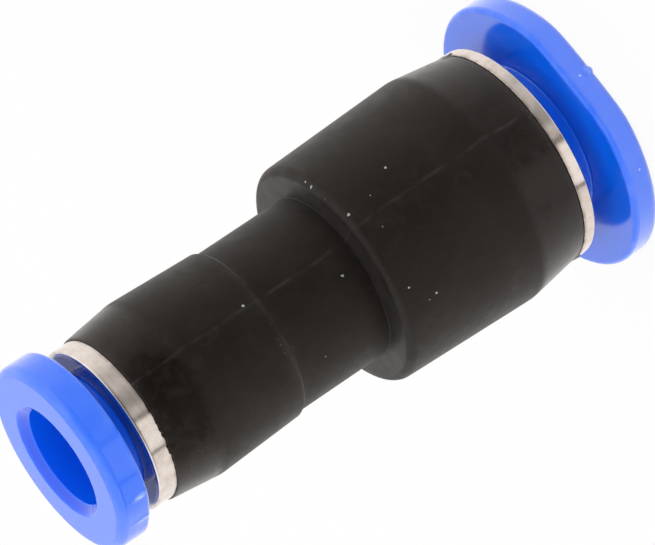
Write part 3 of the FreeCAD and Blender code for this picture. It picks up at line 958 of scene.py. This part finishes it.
floor_half = 1.2
table_white = (0.82, 0.82, 0.81, 1)
card_warmth = (1, 0.985, 0.965)
close_glow = (1.20, 1.18, 1.16, 1)
lean_reach = 6.5 * mm
lean_turns = 0.575
close_range = (10.5 * mm, 12.5 * mm)
far_range = (0.11, 0.17)
front_turn = 0.3
front_range = (1.0, 1.5)
front_dimming = 0.88
seen_white_share = 0.93
floor_mesh = bpy.data.meshes.new("floor")
corners = floor_half * np.array([[-1, -1, 0], [1, -1, 0], [1, 1, 0], [-1, 1, 0]])
floor_mesh.from_pydata(corners, [], [[0, 1, 2, 3]])
floor = bpy.data.objects.new("floor", floor_mesh)
bpy.context.scene.collection.objects.link(floor)
floor_paint = bpy.data.materials.new("floor paint")
floor_paint.use_nodes = True
tree = floor_paint.node_tree
tree.nodes.clear()
table = wire(tree, "ShaderNodeBsdfDiffuse", {"Color": table_white})
place = tree.nodes.new("ShaderNodeTexCoord").outputs["Object"]
split = wire(tree, "ShaderNodeSeparateXYZ", {0: place}).outputs
distance = wire(tree, "ShaderNodeVectorMath", {0: place}, operation="LENGTH").outputs["Value"]
azimuth = math_node(tree, "ARCTAN2", split["X"], math_node(tree, "MULTIPLY", split["Y"], -1.0))
lean = math_node(tree, "SINE", math_node(tree, "MULTIPLY", azimuth, lean_turns))
lean = math_node(tree, "MULTIPLY", math_node(tree, "DIVIDE", lean_reach, distance), lean)
sectors = wire(tree, "ShaderNodeValToRGB", {
    "Fac": ramp(tree, math_node(tree, "ADD", azimuth, lean), -math.pi, math.pi)})
card_shades = [
    (-180, 1.10), (-76, 1.08), (-63.5, 1.0), (-61, 0.25), (-59, 0.25), (-56.5, 1.1), (-17, 1.12),
    (-13, 0.28), (-10, 0.30), (-7, 0.62), (1, 0.66), (8, 0.40), (22, 0.42), (34, 0.70), (58, 0.66),
    (76, 0.98), (100, 1.08), (180, 1.10),
]
bar = sectors.color_ramp
bar.elements[0].position = 0.0
bar.elements[1].position = 1.0
for degrees, _ in card_shades[1:-1]:
    bar.elements.new(degrees / 360 + 0.5)
for element, (_, shade) in zip(bar.elements, card_shades):
    element.color = [shade * part for part in card_warmth] + [1]
from_front = math_node(tree, "ABSOLUTE", math_node(tree, "ADD", azimuth, front_turn))
in_front = ramp(tree, from_front, *front_range, 1.0, 0.0)
far_away = math_node(tree, "MULTIPLY", ramp(tree, distance, *far_range), in_front)
darkened = math_node(tree, "MULTIPLY", far_away, front_dimming)
shade_there = blend_colors(tree, darkened, sectors.outputs[0], (0, 0, 0, 1))
beside = ramp(tree, distance, *close_range)
shade_there = blend_colors(tree, beside, close_glow, shade_there)
glow = wire(tree, "ShaderNodeEmission", {"Color": shade_there, "Strength": 1.0})
white = wire(tree, "ShaderNodeEmission", {"Color": (1, 1, 1, 1), "Strength": 1.0})
ray = tree.nodes.new("ShaderNodeLightPath")
camera_share = math_node(tree, "MULTIPLY", ray.outputs["Is Camera Ray"], seen_white_share)
seen = wire(tree, "ShaderNodeMixShader", {0: camera_share, 1: table.outputs[0], 2: white.outputs[0]})
mirrored = wire(tree, "ShaderNodeMixShader", {
    0: ray.outputs["Is Glossy Ray"], 1: seen.outputs[0], 2: glow.outputs[0]})
wire(tree, "ShaderNodeOutputMaterial", {0: mirrored.outputs[0]})
floor_mesh.materials.append(floor_paint)

light_strength = 1.15
lens_side_strength = 0.18
far_side_strength = 1.25
back_dimming = 0.32
world = bpy.data.worlds.new("tent")
bpy.context.scene.world = world
world.use_nodes = True
tree = world.node_tree
tree.nodes.clear()
direction = tree.nodes.new("ShaderNodeTexCoord").outputs["Generated"]
split = wire(tree, "ShaderNodeSeparateXYZ", {0: direction}).outputs
mirrored_strength = ramp(tree, split["Y"], -0.95, -0.35, lens_side_strength, far_side_strength)
mirrored_strength = math_node(tree, "SUBTRACT", mirrored_strength,
                              ramp(tree, split["Y"], 0.3, 0.9, 0.0, back_dimming))
tent = wire(tree, "ShaderNodeBackground", {"Color": (1, 1, 1, 1), "Strength": mirrored_strength})
white = wire(tree, "ShaderNodeBackground", {"Color": (1, 1, 1, 1), "Strength": 1.0})
soft = wire(tree, "ShaderNodeBackground", {"Color": (1, 1, 1, 1), "Strength": light_strength})
ray = tree.nodes.new("ShaderNodeLightPath")
lit = wire(tree, "ShaderNodeMixShader", {
    0: ray.outputs["Is Glossy Ray"], 1: soft.outputs[0], 2: tent.outputs[0]})
mixed = wire(tree, "ShaderNodeMixShader", {
    0: ray.outputs["Is Camera Ray"], 1: lit.outputs[0], 2: white.outputs[0]})
wire(tree, "ShaderNodeOutputWorld", {0: mixed.outputs[0]})

view = bpy.context.scene.view_settings
view.view_transform = "Standard"
